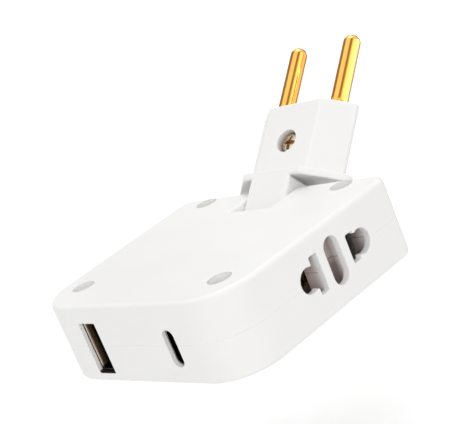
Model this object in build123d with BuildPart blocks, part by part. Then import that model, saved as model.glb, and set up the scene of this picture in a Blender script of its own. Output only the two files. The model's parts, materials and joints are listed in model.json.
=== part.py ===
# Three-way plug adapter: a flat case of two shells with a mains socket in each side, two charging
# ports in its front and a two-pin plug that swivels in a notch in its back edge.
# Millimetres, +Z up, origin at the middle of the bottom face, ports towards -Y, plug towards +Y.
import os
from math import atan2, cos, radians, sin

from build123d import *

# Case
case_depth = 61.0
front_width = 64.0
back_width = 70.6
case_height = 20.0
wall = 2.0
front_corner_r = 12.7
back_corner_r = 3.6
edge_r = 1.2
lip_height = 1.2
lip_gap = 0.05
seam_height = 0.07
seam_depth = 0.12

# Case screws, placed from the sides and ends of the case
front_screw_in = (8.1, 10.6)
back_screw_in = (11.7, 3.8)
recess_r = 2.9
post_r = 3.5
screw_seat = 2.5
screw_head_r = 2.7
screw_head_height = 2.3
screw_shank_r = 1.4
screw_length = 8.5
screw_gap = 0.1
drive_width = 0.7
drive_length = 3.0
drive_depth = 0.9

# Mains sockets
socket_in = 25.3
socket_rise = 0.5
pin_pitch = 19.0
blade_pitch = 12.7
round_hole_r = 3.0
slot_width = 2.7
neutral_slot_height = 9.2
live_slot_height = 7.0
slot_corner_r = 0.4
hole_edge_r = 0.35
earth_slot_height = 11.7
earth_slot_width = 5.1
rib_thickness = 2.0
rib_depth = 6.0
rib_gap = 0.15
pocket_depth = 4.4

# Contacts behind the sockets
strip = 0.3
blade_thickness = 1.5
pin_gap = 4.5
leaf_height = 7.0
leaf_start = 7.0
web_gap = 1.8

# Bus strips on the floor
bus_thickness = 0.6
bus_width = 3.0
bus_overlap = 1.3
live_bus_gap = 0.3
neutral_bus_offset = 7.5
strip_rise = 1.4
wiper_wall_gap = 1.0
wiper_reach = 2.4
wiper_plate = 3.0
wiper_gap = 0.1
lead_r = 0.6
live_lead_x = 3.0
neutral_lead_x = 10.6

# Charging ports
port_rib = 0.6
port_set_back = 1.0
port_base = 3.0
rib_width = 2.4
rib_set_back = 3.0
usb_a_in = 18.5
usb_a_body = (5.4, 12.8, 14.0)
usb_a_gap = 0.25
usb_a_metal = 0.3
usb_a_tongue_size = (1.84, 11.1)
usb_a_tongue_x = 0.9
usb_a_tongue_back = 1.9
usb_a_strip = (0.2, 1.0, 8.5)
usb_a_outer_pitch = 7.0
usb_a_inner_pitch = 2.0
usb_c_in = 18.7
usb_c_body = (3.2, 9.0, 8.2)
usb_c_gap = 0.1
usb_c_metal = 0.25
usb_c_tongue_size = (0.7, 6.7)
usb_c_tongue_back = 1.0
usb_c_strip = (0.1, 0.45, 3.8)
usb_c_pitch = 1.0
usb_c_leg = (0.8, 0.9)
usb_c_leg_set_back = (2.5, 6.6)

# Charger board, hung under the roof with its parts below it
board_thickness = 1.6
board_gap = 0.2
board_drop = 0.85
board_side_gap = 2.4
board_front_depth = 14.7
board_rear_width = 24.8
board_end_gap = 1.4
boss_r = 1.2
boss_side_gap = 0.85
front_boss_in = 2.3
rear_boss_in = 1.8
rear_peg_in = 3.3
core_size = (15.0, 5.9)
winding_size = (10.8, 13.0)
core_gap = 1.45
winding_gap = 3.75
input_can_r = 4.0
input_can_x = 5.0
input_can_gap = 1.55
input_can_in = 8.6
output_can_r = 3.15
output_can_x = 4.2
output_can_gap = 2.55
output_can_in = 6.8
can_edge_r = 0.6
chip_edge = 0.3
rectifier_size = (4.0, 4.7, 2.4)
rectifier_x = 10.2
controller_size = (3.9, 4.9, 1.5)
controller_x = 10.1
fuse_size = (2.8, 7.0, 2.8)
fuse_x = 10.8

# Plug swivel
notch_half = 7.2
notch_edge_r = 0.5
hinge_in = 3.1
knuckle_in = 0.6
knuckle_gap = 0.4
arm_gap = 0.4
trunnion_r = 1.6
trunnion_grip = 4.2
trunnion_stand = 1.2
running_gap = 0.06
washer_r = 5.0
washer_gap = 0.05

# Plug head, measured from the swivel axis along the pins
lean = 48.5
flange_gap = 0.5
flange_thickness = 2.15
flange_step = (3.0, 0.8)
head_length = 20.6
head_corner_out = 7.7
head_flat_in = 0.4
head_half_depth = 6.45
head_corner_r = 1.3
flange_corner_r = 2.2
head_edge_r = 0.7
flange_edge_r = 0.6
arm_edge_r = 0.8
head_wall = 1.8
pin_r = 2.4
pin_length = 21.3
pin_tip_flat = 0.3
neck_step = 0.2
tail_step = 0.6
tail_length = 4.6
seat_thickness = 2.0
collar_length = 4.5
collar_gap = 0.05
plug_screw_rise = 9.45
plug_recess_r = 3.2
plug_recess_floor = 3.3
plug_boss_r = 4.3
link_thickness = 0.8
link_width = 3.0
link_in = 2.5
link_foot = 2.2
link_gap = 0.2
link_bend = (4.0, 1.0)

# Worked out from the above
front_y = -case_depth / 2
back_y = case_depth / 2
parting_z = case_height / 2
roof_z = case_height - wall
side_slope = (back_width - front_width) / 2 / case_depth
side_angle = atan2(back_width - front_width, 2 * case_depth)
front_screw_x = front_width / 2 - front_screw_in[0]
back_screw_x = back_width / 2 - back_screw_in[0]
front_screw_y = front_y + front_screw_in[1]
back_screw_y = back_y - back_screw_in[1]
screw_places = [
    (-front_screw_x, front_screw_y),
    (front_screw_x, front_screw_y),
    (-back_screw_x, back_screw_y),
    (back_screw_x, back_screw_y),
]
screw_seat_z = parting_z + screw_seat
socket_y = back_y - socket_in
socket_x = front_width / 2 + (socket_y - front_y) * side_slope
socket_z = parting_z + socket_rise
pin_u = pin_pitch / 2
blade_u = blade_pitch / 2
pocket_half = blade_u - slot_width / 2
chamber_half = pin_u + round_hole_r
hinge_y = back_y - hinge_in
hinge_z = parting_z
knuckle_r = case_height / 2 - knuckle_in
notch_front = hinge_y - knuckle_r - knuckle_gap
notch_mid = (notch_front + back_y) / 2
arm_half = notch_half - arm_gap
bus_top_z = wall + bus_thickness
wiper_inner_x = notch_half + wall + wiper_wall_gap
trunnion_inner_x = arm_half - trunnion_grip
trunnion_outer_x = wiper_inner_x + trunnion_stand
wiper_outer_x = trunnion_outer_x + wiper_gap + bus_thickness
web_depth = socket_x - wiper_outer_x - web_gap
leaf_low_z = socket_z - leaf_height / 2
leaf_top_z = socket_z + leaf_height / 2
live_bus_y = notch_front - wall - live_bus_gap - bus_width / 2
neutral_bus_y = socket_y - neutral_bus_offset
port_z = wall + port_rib + usb_a_body[1] / 2
port_y = front_y + port_set_back
usb_a_x = usb_a_in - front_width / 2
usb_c_x = front_width / 2 - usb_c_in
boss_x = -usb_a_x - usb_a_body[0] / 2 - boss_r - boss_side_gap
board_z = roof_z - board_drop - board_thickness
board_front_y = front_y + wall + board_gap
board_step_y = board_front_y + board_front_depth
board_rear_y = notch_front - wall - board_end_gap
output_can_y = board_front_y + output_can_in
input_can_y = board_rear_y - input_can_in
transformer_y = (output_can_y + output_can_r + input_can_y - input_can_r) / 2
flange_low = case_height / 2 + flange_gap
flange_top = flange_low + flange_thickness
head_top = flange_top + head_length
pin_tip = head_top + pin_length
head_half = (pin_u + head_corner_out, pin_u - head_flat_in, head_half_depth)
flange_half = (head_half[0] + flange_step[0], head_half[1] + flange_step[1], knuckle_r)
room_low = flange_top + head_wall
room_high = head_top - head_wall
seat_high = room_high - collar_length
seat_low = seat_high - seat_thickness
tail_end = seat_high - tail_length
head_slant = atan2(head_half[2], head_half[0] - head_half[1])
collar_r = head_corner_out * sin(head_slant) - head_wall - collar_gap
plug_screw_level = flange_top + plug_screw_rise
link_x = arm_half - link_in
pin_dir = (0, sin(radians(lean)), cos(radians(lean)))
front_dir = (0, -cos(radians(lean)), sin(radians(lean)))
pin_axis = Axis((0, 0, 0), pin_dir)
standing = (Align.CENTER, Align.CENTER, Align.MIN)
hanging = (Align.CENTER, Align.CENTER, Align.MAX)
os.makedirs("parts", exist_ok=True)


def save(piece, name):
    piece.part.label = name
    export_step(piece.part, f"parts/{name}.step")


def plan_profile(level, inset=0.0):
    # Plan of the case; drawn in from the wall it also keeps clear of the notch
    with BuildSketch(Plane.XY.offset(level)) as plan:
        with BuildLine():
            Polyline(
                (-front_width / 2, front_y),
                (front_width / 2, front_y),
                (back_width / 2, back_y),
                (-back_width / 2, back_y),
                close=True,
            )
        make_face()
        fillet(plan.vertices().group_by(Axis.Y)[0], front_corner_r)
        fillet(plan.vertices().group_by(Axis.Y)[-1], back_corner_r)
        if inset > 0:
            offset(amount=-inset)
            with Locations((0, notch_mid)):
                Rectangle(2 * (notch_half + inset), back_y - notch_front + 2 * inset, mode=Mode.SUBTRACT)
    return plan.sketch


def hex_profile(level, half, corner_r, inset=0.0):
    # Six-sided section across the pins: half width at the corners, half width of the flats, half thickness
    with BuildSketch(plug_level(level)) as section:
        with BuildLine():
            Polyline(
                (half[0], 0),
                (half[1], half[2]),
                (-half[1], half[2]),
                (-half[0], 0),
                (-half[1], -half[2]),
                (half[1], -half[2]),
                close=True,
            )
        make_face()
        if inset > 0:
            offset(amount=-inset, kind=Kind.INTERSECTION)
        else:
            fillet(section.vertices(), corner_r)
    return section.sketch


def plug_point(level, forward=0.0):
    # Point in the middle plane of the plug
    return (
        0,
        hinge_y + level * pin_dir[1] + forward * front_dir[1],
        hinge_z + level * pin_dir[2] + forward * front_dir[2],
    )


def plug_level(level):
    return Plane(origin=plug_point(level), x_dir=(1, 0, 0), z_dir=pin_dir)


def plug_facing(level, forward):
    return Plane(origin=plug_point(level, forward), x_dir=(1, 0, 0), z_dir=front_dir)


def socket_plan(side, level):
    # Plan plane at a socket: Y runs inward from the face
    return Plane(
        origin=(side * socket_x, socket_y, level),
        x_dir=(sin(side_angle), side * cos(side_angle), 0),
        z_dir=(0, 0, 1),
    )


def socket_ribs(side, level):
    # Plan of the walls behind a socket: a pocket for the middle slot and a rib outside each round hole
    with BuildSketch(socket_plan(side, level)) as ribs:
        with Locations((0, rib_depth / 2)):
            Rectangle(2 * pocket_half, rib_depth)
        with Locations((0, pocket_depth / 2)):
            Rectangle(2 * (pocket_half - rib_thickness), pocket_depth, mode=Mode.SUBTRACT)
        with Locations(*[(end * (chamber_half + rib_thickness / 2), rib_depth / 2) for end in (-1, 1)]):
            Rectangle(rib_thickness, rib_depth)
        with Locations((0, wall / 4)):
            Rectangle(2 * (chamber_half + rib_thickness), wall / 2, mode=Mode.SUBTRACT)
    return ribs.sketch


plug_side = Plane(origin=plug_point(0), x_dir=pin_dir, z_dir=(1, 0, 0))
plug_split = plug_facing(0, 0)
right_face = Plane(
    origin=(socket_x, socket_y, socket_z),
    x_dir=(sin(side_angle), cos(side_angle), 0),
    z_dir=(cos(side_angle), -sin(side_angle), 0),
)
front_face = Plane(origin=(0, front_y, port_z), x_dir=(1, 0, 0), z_dir=(0, -1, 0))

# Socket holes, port mouths and swivel bearings, cut from the case and from the ribs behind it
with BuildPart() as openings:
    with BuildSketch(right_face) as socket_holes:
        for end, slot_height in ((-1, neutral_slot_height), (1, live_slot_height)):
            with Locations((end * pin_pitch / 2, 0)):
                Circle(round_hole_r)
            with Locations((end * blade_pitch / 2, 0)):
                Rectangle(slot_width, slot_height)
        fillet(socket_holes.vertices(), slot_corner_r)
        SlotOverall(earth_slot_height, earth_slot_width, rotation=90)
    extrude(amount=wall + slot_corner_r, both=True)
    mirror(about=Plane.YZ)
    with BuildSketch(front_face):
        with Locations((usb_a_x, 0)):
            RectangleRounded(usb_a_body[0] + 2 * usb_a_gap, usb_a_body[1] + 2 * usb_a_gap, slot_corner_r)
        with Locations((usb_c_x, 0)):
            SlotOverall(usb_c_body[1] + 2 * usb_c_gap, usb_c_body[0] + 2 * usb_c_gap, rotation=90)
    extrude(amount=wall + slot_corner_r, both=True)
    with Locations(Location((0, hinge_y, hinge_z), (0, 90, 0))):
        Cylinder(trunnion_r + running_gap, 2 * trunnion_outer_x + wall)

# Case body, hollow, with the notch in its back edge and the socket holes rounded at the outside
with BuildPart() as case_form:
    extrude(plan_profile(0), amount=case_height)
    fillet(case_form.edges().group_by(Axis.Z)[0] + case_form.edges().group_by(Axis.Z)[-1], edge_r)
    extrude(plan_profile(wall, wall), amount=roof_z - wall, mode=Mode.SUBTRACT)
    with Locations((0, notch_mid + wall / 2, parting_z)):
        Box(2 * notch_half, back_y - notch_front + wall, case_height, mode=Mode.SUBTRACT)
    mouth_edges = case_form.edges().filter_by(Axis.Z).group_by(Axis.Y)[-1]
    fillet(mouth_edges.sort_by(lambda edge: abs(edge.center().X))[:2], notch_edge_r)
    add(openings.part, mode=Mode.SUBTRACT)
    socket_faces = case_form.faces().filter_by(lambda face: len(face.inner_wires()) == 3)
    outer_faces = socket_faces.sort_by(lambda face: abs(face.center().X))[-2:]
    fillet([wire.edges() for face in outer_faces for wire in face.inner_wires()], hole_edge_r)

lip_ring = plan_profile(parting_z, wall / 2 + lip_gap) - plan_profile(parting_z, wall)
groove_ring = plan_profile(parting_z, wall / 2) - plan_profile(parting_z, wall + lip_gap)
seam_ring = plan_profile(parting_z) - plan_profile(parting_z, seam_depth)

# Lower shell: screw posts, board pegs, ribs under the ports and behind the sockets, closing lip and seam
front_boss_y = board_front_y + front_boss_in
peg_places = [(-boss_x, front_boss_y), (boss_x, front_boss_y), (0, board_rear_y - rear_peg_in)]
port_ribs = [(usb_a_x, usb_a_body), (usb_c_x, usb_c_body)]
with BuildPart() as lower_shell:
    add(case_form.part)
    split(bisect_by=Plane.XY.offset(parting_z), keep=Keep.BOTTOM)
    extrude(lip_ring, amount=lip_height)
    with Locations(*[(x, y, wall) for x, y in screw_places]):
        Cylinder(post_r, parting_z - wall, align=standing)
    with Locations(*[(x, y, wall) for x, y in peg_places]):
        Cylinder(boss_r, board_z - wall, align=standing)
    for x, body in port_ribs:
        rib_length = body[2] - 2 * rib_set_back
        with Locations((x, port_y + body[2] / 2, wall)):
            Box(rib_width, rib_length, port_z - body[1] / 2 - wall, align=standing)
    for side in (-1, 1):
        extrude(socket_ribs(side, wall / 2), amount=parting_z - wall / 2)
    extrude(seam_ring, amount=-seam_height, mode=Mode.SUBTRACT)
    with Locations(*[(x, y, parting_z) for x, y in screw_places]):
        Cylinder(screw_shank_r + screw_gap, parting_z - wall, align=hanging, mode=Mode.SUBTRACT)
    add(openings.part, mode=Mode.SUBTRACT)
save(lower_shell, "lower_shell")

# Upper shell: recessed screw posts, board bosses, socket ribs and the groove for the lip
boss_places = [
    (-boss_x, front_boss_y),
    (boss_x, front_boss_y),
    (-boss_x, board_rear_y - rear_boss_in),
    (boss_x, board_rear_y - rear_boss_in),
]
with BuildPart() as upper_shell:
    add(case_form.part)
    split(bisect_by=Plane.XY.offset(parting_z), keep=Keep.TOP)
    with Locations(*[(x, y, parting_z) for x, y in screw_places]):
        Cylinder(post_r, roof_z - parting_z, align=standing)
    with Locations(*[(x, y, roof_z) for x, y in boss_places]):
        Cylinder(boss_r, board_drop, align=hanging)
    rib_low_z = parting_z + rib_gap
    for side in (-1, 1):
        extrude(socket_ribs(side, rib_low_z), amount=case_height - wall / 2 - rib_low_z)
    extrude(groove_ring, amount=lip_height + lip_gap, mode=Mode.SUBTRACT)
    with Locations(*[(x, y, screw_seat_z) for x, y in screw_places]):
        Cylinder(recess_r, case_height - screw_seat_z, align=standing, mode=Mode.SUBTRACT)
        Cylinder(screw_shank_r + screw_gap, screw_seat_z - parting_z, align=hanging, mode=Mode.SUBTRACT)
    add(openings.part, mode=Mode.SUBTRACT)
save(upper_shell, "upper_shell")

# Four self-tapping screws with cross drives
with BuildPart() as case_screws:
    with Locations(*[(x, y, screw_seat_z) for x, y in screw_places]):
        Cylinder(screw_head_r, screw_head_height, align=standing)
        Cylinder(screw_shank_r, screw_length, align=hanging)
    with Locations(*[(x, y, screw_seat_z + screw_head_height) for x, y in screw_places]):
        Box(drive_width, drive_length, drive_depth, align=hanging, mode=Mode.SUBTRACT)
        Box(drive_length, drive_width, drive_depth, align=hanging, mode=Mode.SUBTRACT)
save(case_screws, "case_screws")

# Spring contacts: one web with a leaf on each side of the blade and one outside the round pin
leaf_us = [
    blade_u - (blade_thickness + strip) / 2,
    pin_u - (pin_gap + strip) / 2,
    pin_u + (pin_gap + strip) / 2,
]
for side, side_name in ((1, "right"), (-1, "left")):
    for end, pole in ((1, "live"), (-1, "neutral")):
        turn = side * end
        with BuildPart() as contact:
            with BuildSketch(socket_plan(side, leaf_low_z)):
                with Locations(*[(turn * u, (leaf_start + web_depth) / 2) for u in leaf_us]):
                    Rectangle(strip, web_depth - leaf_start)
            extrude(amount=leaf_height)
            with BuildSketch(socket_plan(side, bus_top_z)):
                with Locations((turn * (leaf_us[0] + leaf_us[2]) / 2, web_depth + strip / 2)):
                    Rectangle(leaf_us[2] - leaf_us[0] + strip, strip)
            extrude(amount=leaf_top_z - bus_top_z)
        save(contact, f"{side_name}_{pole}_contact")

# Bus strips that join the two sockets
bus_half_length = socket_x - web_depth + bus_overlap
for pole, bus_y in (("live", live_bus_y), ("neutral", neutral_bus_y)):
    with BuildPart() as bus:
        with Locations((0, bus_y, wall)):
            Box(2 * bus_half_length, bus_width, bus_thickness, align=standing)
    save(bus, f"{pole}_bus")

# Wipers that carry the mains from the swivel to the bus strips
wiper_mid_x = (wiper_inner_x + wiper_outer_x) / 2
wiper_width = wiper_outer_x - wiper_inner_x
wiper_back = back_y - wall - board_gap
wiper_top_z = hinge_z + wiper_reach
for side, pole, strip_z, strip_start in (
    (1, "live", wall, live_bus_y + bus_width / 2),
    (-1, "neutral", bus_top_z + strip_rise, neutral_bus_y),
):
    with BuildPart() as wiper:
        with Locations((side * wiper_mid_x, (strip_start + wiper_back) / 2, strip_z)):
            Box(wiper_width, wiper_back - strip_start, bus_thickness, align=standing)
        with Locations((side * (wiper_outer_x - bus_thickness / 2), wiper_back - wiper_plate / 2, strip_z)):
            Box(bus_thickness, wiper_plate, wiper_top_z - strip_z, align=standing)
        if strip_z > bus_top_z:
            with Locations((side * wiper_mid_x, strip_start + bus_thickness / 2, bus_top_z)):
                Box(wiper_width, bus_thickness, strip_z - bus_top_z, align=standing)
    save(wiper, f"{pole}_wiper")

# Leads from the bus strips up to the board
for pole, x, y in (
    ("live", live_lead_x, live_bus_y - bus_width / 4),
    ("neutral", neutral_lead_x, neutral_bus_y),
):
    with BuildPart() as lead:
        with Locations((x, y, bus_top_z)):
            Cylinder(lead_r, board_z - bus_top_z, align=standing)
    save(lead, f"{pole}_lead")

# Charger board, cut out round the large port, and the parts that hang from it
board_front_half = front_screw_x - post_r - board_side_gap
port_cut = (usb_a_body[0] + 2 * board_gap, port_y + usb_a_body[2] + board_gap - board_front_y)
with BuildPart() as charger_board:
    with BuildSketch(Plane.XY.offset(board_z)):
        with Locations((0, board_front_y + board_front_depth / 2)):
            Rectangle(2 * board_front_half, board_front_depth)
        with Locations((0, (board_step_y + board_rear_y) / 2)):
            Rectangle(board_rear_width, board_rear_y - board_step_y)
        with Locations((usb_a_x, board_front_y + port_cut[1] / 2)):
            Rectangle(port_cut[0], port_cut[1], mode=Mode.SUBTRACT)
    extrude(amount=board_thickness)
save(charger_board, "charger_board")

with BuildPart() as transformer:
    with Locations((0, transformer_y, board_z)):
        Box(core_size[0], core_size[1], board_z - bus_top_z - core_gap, align=hanging)
        Box(winding_size[0], winding_size[1], board_z - bus_top_z - winding_gap, align=hanging)
save(transformer, "transformer")

for name, radius, height, x, y in (
    ("input_capacitors", input_can_r, board_z - wall - input_can_gap, input_can_x, input_can_y),
    ("output_capacitors", output_can_r, board_z - wall - output_can_gap, output_can_x, output_can_y),
):
    with BuildPart() as cans:
        with Locations((-x, y, board_z), (x, y, board_z)):
            Cylinder(radius, height, align=hanging)
        fillet(cans.edges().filter_by(GeomType.CIRCLE).group_by(Axis.Z)[0], can_edge_r)
    save(cans, name)

for name, size, x, y in (
    ("bridge_rectifier", rectifier_size, -rectifier_x, transformer_y),
    ("controller_chip", controller_size, controller_x, transformer_y),
    ("fuse", fuse_size, -fuse_x, input_can_y),
):
    with BuildPart() as chip:
        with Locations((x, y, board_z)):
            Box(size[0], size[1], size[2], align=hanging)
        chamfer(chip.edges().group_by(Axis.Z)[0], chip_edge)
    save(chip, name)

# Large charging port: folded shell, tongue with its base, four contacts
usb_a_front = Plane(origin=(usb_a_x, port_y, port_z), x_dir=(1, 0, 0), z_dir=(0, -1, 0))
usb_a_inner = (usb_a_body[0] - 2 * usb_a_metal, usb_a_body[1] - 2 * usb_a_metal)
with BuildPart() as usb_a_shell:
    with BuildSketch(usb_a_front):
        Rectangle(usb_a_body[0], usb_a_body[1])
        Rectangle(usb_a_inner[0], usb_a_inner[1], mode=Mode.SUBTRACT)
    extrude(amount=-usb_a_body[2])
save(usb_a_shell, "usb_a_shell")

with BuildPart() as usb_a_tongue:
    with BuildSketch(usb_a_front.offset(-usb_a_tongue_back)):
        with Locations((usb_a_tongue_x, 0)):
            Rectangle(usb_a_tongue_size[0], usb_a_tongue_size[1])
    extrude(amount=usb_a_tongue_back - usb_a_body[2])
    with BuildSketch(usb_a_front.offset(-usb_a_body[2])):
        Rectangle(usb_a_inner[0], usb_a_inner[1])
    extrude(amount=port_base)
save(usb_a_tongue, "usb_a_tongue")

usb_a_strip_x = usb_a_tongue_x - usb_a_tongue_size[0] / 2 - usb_a_strip[0] / 2
usb_a_strip_zs = [side * pitch / 2 for side in (-1, 1) for pitch in (usb_a_outer_pitch, usb_a_inner_pitch)]
with BuildPart() as usb_a_contacts:
    with BuildSketch(usb_a_front.offset(port_base - usb_a_body[2])):
        with Locations(*[(usb_a_strip_x, z) for z in usb_a_strip_zs]):
            Rectangle(usb_a_strip[0], usb_a_strip[1])
    extrude(amount=usb_a_strip[2])
save(usb_a_contacts, "usb_a_contacts")

# Small charging port: drawn shell on two legs, thin tongue, contacts on both its faces
usb_c_front = Plane(origin=(usb_c_x, port_y, port_z), x_dir=(1, 0, 0), z_dir=(0, -1, 0))
usb_c_inner = (usb_c_body[0] - 2 * usb_c_metal, usb_c_body[1] - 2 * usb_c_metal)
with BuildPart() as usb_c_shell:
    with BuildSketch(usb_c_front):
        SlotOverall(usb_c_body[1], usb_c_body[0], rotation=90)
        SlotOverall(usb_c_inner[1], usb_c_inner[0], rotation=90, mode=Mode.SUBTRACT)
    extrude(amount=-usb_c_body[2])
    leg_low_z = port_z + usb_c_body[1] / 2 - usb_c_metal / 2
    with Locations(*[(usb_c_x, port_y + set_back, leg_low_z) for set_back in usb_c_leg_set_back]):
        Box(usb_c_leg[0], usb_c_leg[1], board_z - leg_low_z, align=standing)
save(usb_c_shell, "usb_c_shell")

with BuildPart() as usb_c_tongue:
    with BuildSketch(usb_c_front.offset(-usb_c_tongue_back)):
        Rectangle(usb_c_tongue_size[0], usb_c_tongue_size[1])
    extrude(amount=usb_c_tongue_back - usb_c_body[2])
    with BuildSketch(usb_c_front.offset(-usb_c_body[2])):
        SlotOverall(usb_c_inner[1], usb_c_inner[0], rotation=90)
    extrude(amount=port_base)
save(usb_c_tongue, "usb_c_tongue")

with BuildPart() as usb_c_contacts:
    with BuildSketch(usb_c_front.offset(port_base - usb_c_body[2])):
        with GridLocations(usb_c_tongue_size[0] + usb_c_strip[0], usb_c_pitch, 2, 6):
            Rectangle(usb_c_strip[0], usb_c_strip[1])
    extrude(amount=usb_c_strip[2])
save(usb_c_contacts, "usb_c_contacts")

# Washers that hold the plug where it is put
washer_x = (notch_half + arm_half) / 2
washer_thickness = arm_gap - 2 * washer_gap
with BuildPart() as friction_washers:
    with Locations(*[Location((x, hinge_y, hinge_z), (0, 90, 0)) for x in (-washer_x, washer_x)]):
        Cylinder(washer_r, washer_thickness)
        Cylinder(trunnion_r + running_gap, washer_thickness, mode=Mode.SUBTRACT)
save(friction_washers, "friction_washers")

# Outer form of the plug: round knuckle and arm, flange with soft edges, six-sided head
with BuildPart() as flange_form:
    extrude(hex_profile(flange_low, flange_half, flange_corner_r), amount=flange_top - flange_low)
    flange_rims = flange_form.edges().group_by(pin_axis)
    fillet(flange_rims[0] + flange_rims[-1], flange_edge_r)

arm_top = flange_top - flange_edge_r
with BuildPart() as plug_form:
    with BuildSketch(plug_side):
        Circle(knuckle_r)
        with Locations((arm_top / 2, 0)):
            Rectangle(arm_top, 2 * knuckle_r)
    extrude(amount=arm_half, both=True)
    arm_rims = plug_form.edges().group_by(Axis.X)[0] + plug_form.edges().group_by(Axis.X)[-1]
    fillet(arm_rims.filter_by(GeomType.CIRCLE) + arm_rims.filter_by(pin_axis), arm_edge_r)
    add(flange_form.part)
    extrude(hex_profile(flange_top, head_half, head_corner_r), amount=head_top - flange_top)
    fillet(plug_form.edges().group_by(pin_axis)[-1], head_edge_r)

# Room inside the plug for the pins, links and swivel stubs
tail_r = pin_r - tail_step
neck_r = pin_r - neck_step
with BuildPart() as plug_room:
    extrude(hex_profile(room_low, head_half, 0, head_wall), amount=seat_low - room_low)
    extrude(hex_profile(seat_high, head_half, 0, head_wall), amount=room_high - seat_high)
    with BuildSketch(plug_level(seat_low)):
        with Locations((-pin_u, 0), (pin_u, 0)):
            Circle(tail_r + running_gap)
    extrude(amount=seat_high - seat_low)
    with BuildSketch(plug_level(room_high)):
        with Locations((-pin_u, 0), (pin_u, 0)):
            Circle(neck_r + running_gap)
    extrude(amount=2 * head_wall)
    with BuildSketch(plug_level(trunnion_r)):
        with Locations((-link_x, 0), (link_x, 0)):
            Rectangle(link_foot + 2 * link_gap, link_width + 2 * link_gap)
    extrude(amount=room_low - trunnion_r)
    with Locations(*[Location((x, hinge_y, hinge_z), (0, 90, 0)) for x in (-arm_half, arm_half)]):
        Cylinder(trunnion_r, 2 * (arm_half - trunnion_inner_x))

# Front half of the plug, with the screw recess
with BuildPart() as plug_front:
    add(plug_form.part)
    split(bisect_by=plug_split, keep=Keep.TOP)
    add(plug_room.part, mode=Mode.SUBTRACT)
    with BuildSketch(plug_facing(plug_screw_level, 0)):
        Circle(plug_boss_r)
    extrude(amount=head_half[2] - head_wall / 2)
    with BuildSketch(plug_facing(plug_screw_level, plug_recess_floor)):
        Circle(plug_recess_r)
    extrude(amount=head_half[2], mode=Mode.SUBTRACT)
    with BuildSketch(plug_facing(plug_screw_level, 0)):
        Circle(screw_shank_r + screw_gap)
    extrude(amount=plug_recess_floor, mode=Mode.SUBTRACT)
save(plug_front, "plug_front")

# Rear half of the plug, with the boss that takes the screw
with BuildPart() as plug_rear:
    add(plug_form.part)
    split(bisect_by=plug_split, keep=Keep.BOTTOM)
    add(plug_room.part, mode=Mode.SUBTRACT)
    with BuildSketch(plug_facing(plug_screw_level, 0)):
        Circle(plug_boss_r)
    extrude(amount=head_wall / 2 - head_half[2])
    with BuildSketch(plug_facing(plug_screw_level, 0)):
        Circle(screw_shank_r + screw_gap)
    extrude(amount=head_wall - head_half[2], mode=Mode.SUBTRACT)
save(plug_rear, "plug_rear")

with BuildPart() as plug_screw:
    with BuildSketch(plug_facing(plug_screw_level, plug_recess_floor)):
        Circle(screw_head_r)
    extrude(amount=screw_head_height)
    with BuildSketch(plug_facing(plug_screw_level, plug_recess_floor)):
        Circle(screw_shank_r)
    extrude(amount=head_wall + screw_gap - head_half[2] - plug_recess_floor)
    with BuildSketch(plug_facing(plug_screw_level, plug_recess_floor + screw_head_height)):
        Rectangle(drive_width, drive_length)
        Rectangle(drive_length, drive_width)
    extrude(amount=-drive_depth, mode=Mode.SUBTRACT)
save(plug_screw, "plug_screw")

# Pins with a collar behind the face, links down the arm and stubs that turn in the case
pin_steps = [
    (tail_end, seat_high, tail_r),
    (seat_high, room_high, collar_r),
    (room_high, head_top, neck_r),
    (head_top, pin_tip, pin_r),
]
link_pad = tail_end - link_thickness / 2
link_low = trunnion_r + link_thickness / 2
link_path = [
    (pin_u + tail_r, link_pad),
    (pin_u - tail_r, link_pad),
    (pin_u - tail_r, room_low + link_bend[0]),
    (link_x, room_low + link_bend[1]),
    (link_x, link_low),
    (link_x + link_foot / 2, link_low),
]
trunnion_mid_x = (trunnion_inner_x + trunnion_outer_x) / 2
for side, pole in ((1, "live"), (-1, "neutral")):
    with BuildPart() as pin:
        for low, high, radius in pin_steps:
            with BuildSketch(plug_level(low)):
                with Locations((side * pin_u, 0)):
                    Circle(radius)
            extrude(amount=high - low)
        fillet(pin.edges().group_by(pin_axis)[-1], pin_r - pin_tip_flat)
    save(pin, f"{pole}_pin")

    with BuildPart() as link:
        with BuildSketch(plug_split):
            with BuildLine():
                Polyline(*[(side * x, level) for x, level in link_path])
            trace(line_width=link_thickness)
        extrude(amount=link_width / 2, both=True)
    save(link, f"{pole}_link")

    with BuildPart() as trunnion:
        with Locations(Location((side * trunnion_mid_x, hinge_y, hinge_z), (0, 90, 0))):
            Cylinder(trunnion_r, trunnion_outer_x - trunnion_inner_x)
    save(trunnion, f"{pole}_trunnion")
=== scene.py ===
import bpy
import json
import numpy as np
from mathutils import Matrix, Vector


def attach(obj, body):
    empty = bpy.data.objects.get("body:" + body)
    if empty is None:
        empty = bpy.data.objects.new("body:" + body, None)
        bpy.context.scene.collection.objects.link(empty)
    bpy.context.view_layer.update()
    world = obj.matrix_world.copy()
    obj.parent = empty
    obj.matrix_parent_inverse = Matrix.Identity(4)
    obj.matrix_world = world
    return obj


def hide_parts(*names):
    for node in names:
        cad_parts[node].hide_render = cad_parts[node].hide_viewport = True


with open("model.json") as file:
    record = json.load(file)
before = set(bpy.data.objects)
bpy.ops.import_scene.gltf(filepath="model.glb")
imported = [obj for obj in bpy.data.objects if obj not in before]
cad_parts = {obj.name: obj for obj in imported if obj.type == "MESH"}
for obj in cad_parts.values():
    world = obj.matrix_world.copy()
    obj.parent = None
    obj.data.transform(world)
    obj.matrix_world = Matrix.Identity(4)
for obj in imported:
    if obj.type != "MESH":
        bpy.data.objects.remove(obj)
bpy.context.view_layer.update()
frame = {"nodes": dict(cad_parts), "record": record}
nodes = frame["nodes"]
mm = 0.001
print("frame loaded:", len(nodes), "nodes")

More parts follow.
